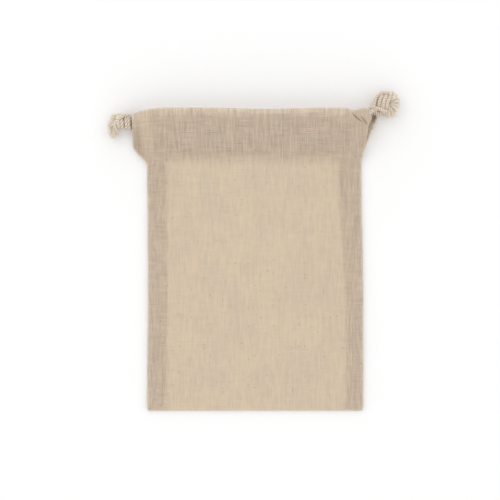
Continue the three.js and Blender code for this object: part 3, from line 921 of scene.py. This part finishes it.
def clothValues(x, y, weights, share, half, turned):
    # from 0 to 1: where more plies lie under the surface (less where painted light pales them), and
    # painted highlights where the mouth's fold and the edges catch the light
    outer = (weights[:, 3] + weights[:, 0])[:, None]
    half, turned = half[:, None], turned[:, None]
    band = shading["doubled"] * ease((np.abs(x) - half + turned + 1.2) / 2.4)
    # painted light: towards the channel's ends fewer plies show, more so on the left, which pales
    # them against the shade on their slopes
    ends = np.where(x < 0, 0.5, 0.3) * ease((np.abs(x) - 42) / 8)
    channel = ease((y - hemY + 6.6) / 8.6) * (1 - ends)
    pliesAndPaintedLight = np.maximum(band, channel) * outer + (1 - outer)
    # painted light: the back ply at the right opening is paled against the shadow the front ply
    # casts on it
    pliesAndPaintedLight = pliesAndPaintedLight * (1 - 0.8 * weights[:, :1] * ease((x - 50.5) / 1) * ease((y - 50) / 4))
    lip = bell(y, mouthY, shading["lipWide"]) * (1 - 0.5 * ease((np.abs(x) - 40) / 8))
    slit = ease((y - 50) / 4) * weights[:, 3:4]
    # edge: a painted highlight along the sides, the mouth and the bottom fold, weaker past the
    # slits and none where the back ply's edge hides under the left knot
    hiddenEdge = weights[:, :1] * (x < 0) * ease((y - 57) / 2)
    paintedHighlight, wide = shading["sideHighlight"], shading["highlightWide"]
    edge = paintedHighlight - shading["slitHighlight"] * slit - paintedHighlight * hiddenEdge
    edge = edge * bell(np.abs(x), half, wide) * outer
    edge = np.maximum(edge, shading["mouthHighlight"] * bell(y, mouthY - 0.3, wide))
    edge = np.maximum(edge, shading["foldHighlight"] * bell(y, foldY + 0.4, wide))
    return {"plies": np.where(share > 0, shading["doubled"], pliesAndPaintedLight), "lip": lip, "edge": edge}


def closedShell(places):
    # two faces half a ply either side of the grid, joined round its rim
    grid = places[:, 1:]
    down, across = np.gradient(places, axis=0), np.gradient(places, axis=1)
    normal = unit(np.cross(down, across))[:, 1:]
    rows, columns = grid.shape[:2]
    index = np.arange(rows * columns).reshape(rows, columns)
    a, b, c, d = index[:-1, :-1], index[1:, :-1], index[1:, 1:], index[:-1, 1:]
    first = np.stack([a, b, c, d], axis=-1).reshape(-1, 4)
    second = np.stack([a, d, c, b], axis=-1).reshape(-1, 4) + rows * columns
    rim = np.concatenate([index[:, 0], index[-1, 1:], index[-2::-1, -1], index[0, -2::-1]])
    m, n = rim[:-1], rim[1:]
    edge = np.stack([n, m, m + rows * columns, n + rows * columns], axis=-1)
    points = np.concatenate([grid + normal * cloth / 2, grid - normal * cloth / 2])
    normals = np.concatenate([normal, -normal]).reshape(-1, 3)
    return points.reshape(-1, 3), normals, np.vstack([first, second, edge])


def makeClothHalf(side, material, nodes):
    places, uv, values = stripSurface(side)
    points, normals, quads = closedShell(places)
    if side == "left":
        quads, normals = quads[:, ::-1], -normals  # the mirrored half would face inwards
    piece = makePiece(f"{side}ClothHalf", points, quads)
    addUv(piece, np.tile(uv[:, 1:].reshape(-1, 2), (2, 1)))
    for name, value in values.items():
        addValue(piece, name, np.tile(value[:, 1:].ravel(), 2))
    piece.data.normals_split_custom_set_from_vertices(normals)
    piece.data.materials.append(material)
    gather(piece)
    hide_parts(*nodes)
    return piece


def gather(piece):
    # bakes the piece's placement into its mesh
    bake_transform(piece)


# Stitching: thread between the cloth's colour and cream, bedded in the weave

stitching = {
    "radius": 0.13, "length": 2.1, "gap": 0.45, "bed": 0.03, "hemRise": 1.1, "hemEnd": 49.7,
    "slitInset": 2.8, "slitRun": (51.6, 68), "seamInset": 0.1, "seamRun": (-68, 47),
    "overlockRun": (-66, 46), "overlockPitch": 1.7, "overlockWide": 1.1,
}


def outerFace(x, y, front):
    # a place on the front ply's upper face or the back ply's lower one, and the way out of it
    ply, away = (3, 1) if front else (0, -1)
    step = 0.1
    z = plyHeights(x, y)[ply]
    slopeX = (plyHeights(x + step, y)[ply] - z) / step
    slopeY = (plyHeights(x, y + step)[ply] - z) / step
    normal = unit(np.stack([-slopeX, -slopeY, np.ones_like(z)], axis=-1)) * away
    return np.stack([x, y - mouthDrop(x, y), z], axis=-1) + normal * cloth / 2, normal


def finishThread(piece, node, material):
    piece.data.materials.append(material)
    gather(piece)
    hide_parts(node)


def stitchRow(name, places, normals, node, material):
    # each stitch rises from its hole, runs along the cloth and goes down into the next one:
    # its height is radius (1.9 sin(pi t)^0.4 - 1.1) - bed
    along = lengthAlong(places)
    full = stitching["length"] + stitching["gap"]
    starts = np.arange(0.2, along[-1] - stitching["length"], full)
    t = np.linspace(0, 1, 9)
    where = starts[:, None] + stitching["length"] * t
    lift = stitching["radius"] * (1.9 * np.sin(np.pi * t) ** 0.4 - 1.1) - stitching["bed"]
    at = [np.interp(where, along, places[:, i]) for i in range(3)]
    out = [np.interp(where, along, normals[:, i]) for i in range(3)]
    paths = np.stack(at, axis=-1) + np.stack(out, axis=-1) * lift[:, None]
    finishThread(makeTubes(name, paths, stitching["radius"], 6), node, material)


def makeHemStitches(side, sign, face, material):
    # one straight row across the channel's lower edge
    x = sign * np.linspace(0.05, stitching["hemEnd"], 160)
    y = np.full_like(x, hemY + stitching["hemRise"])
    places, normals = outerFace(x, y, face == "front")
    name = f"{face}HemStitches_{side}"
    stitchRow(name, places, normals, f"{face}_hem_thread", material)


def makeSlitStitches(side, sign, face, material):
    # one row up the turned-in edge of a channel's end
    y = np.linspace(*stitching["slitRun"], 60)
    x = sign * (clothEdge(side, y, face == "back") - stitching["slitInset"])
    places, normals = outerFace(x, y, face == "front")
    name = f"{face}SlitStitches_{side}"
    stitchRow(name, places, normals, f"{face}_{side}_slit_thread", material)


def makeSeamStitches(side, sign, material):
    # one row up the side, between the front and the back
    y = np.linspace(*stitching["seamRun"], 240)
    x = clothEdge(side, y, False)
    back, _, _, top = plyHeights(sign * x, y)
    places = np.column_stack([sign * (x - stitching["seamInset"]), y, (back + top) / 2])
    normals = np.tile([sign, 0.0, 0.0], (len(y), 1))
    stitchRow(f"{side}SeamStitches", places, normals, f"{side}_seam_thread", material)


def makeOverlocking(side, sign, material):
    # one thread winding round both raw edges: a flattened helix along the seam
    y = np.linspace(*stitching["overlockRun"], 900)
    x = clothEdge(side, y, False) - turnedIn(side, y)
    back, _, _, top = plyHeights(sign * x, y)
    angle = 2 * np.pi * y / stitching["overlockPitch"]
    height = (top - back) / 2 - 0.12
    line = np.column_stack([sign * (x + 0.9 + stitching["overlockWide"] * np.cos(angle)), y,
                            (top + back) / 2 + height * np.sin(angle)])
    piece = makeTubes(f"{side}Overlocking", line[None], stitching["radius"], 5)
    finishThread(piece, f"{side}_overlock_thread", material)


def makeStitching(side, material):
    sign = 1 if side == "right" else -1
    for face in ("front", "back"):
        makeHemStitches(side, sign, face, material)
        makeSlitStitches(side, sign, face, material)
    makeSeamStitches(side, sign, material)
    makeOverlocking(side, sign, material)


# Everything is made here

makeCamera()
makeFloor()
makeLight()
print("camera, floor and light made")

calicoCloth = calicoMaterial()
cordCotton = yarnMaterial("softTwistedCotton", "F3E6D6", "DBCAB7", "AC967E", 0.15)
frayedCotton = yarnMaterial("frayedCottonYarn", "FFF9EE", "F0E1CC", "D3BDA0", 0.3)
sewingCotton = yarnMaterial("cottonSewingThread", "CDBDA8", "C0AF9B", "A8957F", 0.1)
print("materials made")

leftRoute = cordRoute(1, cord["leftY"], leftFront, leftBack)
rightRoute = cordRoute(-1, cord["rightY"], rightFront, rightBack)
leftCord = makeCord("left", leftRoute, cordCotton)
rightCord = makeCord("right", rightRoute, cordCotton)
leftEnds = [makeLeftKnot(cordCotton), *makeLeftTuft(frayedCotton),
            makeFuzz("left", 21, (3.2, 3.6, 3.3), frayedCotton)]
rightEnds = [makeRightKnot(cordCotton), *makeRightTuft(frayedCotton),
             makeFuzz("right", 22, (4.5, 4.6, 4.3), frayedCotton)]
print("cords, knots and tufts made")

shared = ["front_panel", "back_panel", "bottom_fold", "front_casing", "back_casing"]
for sideName in ("left", "right"):
    hems = [f"front_{sideName}_slit_hem", f"back_{sideName}_slit_hem"]
    clothHalf = makeClothHalf(sideName, calicoCloth,
                              [*shared, f"{sideName}_seam_allowance", *hems])
    makeStitching(sideName, sewingCotton)
    print(sideName, "half of the cloth and its stitching made")
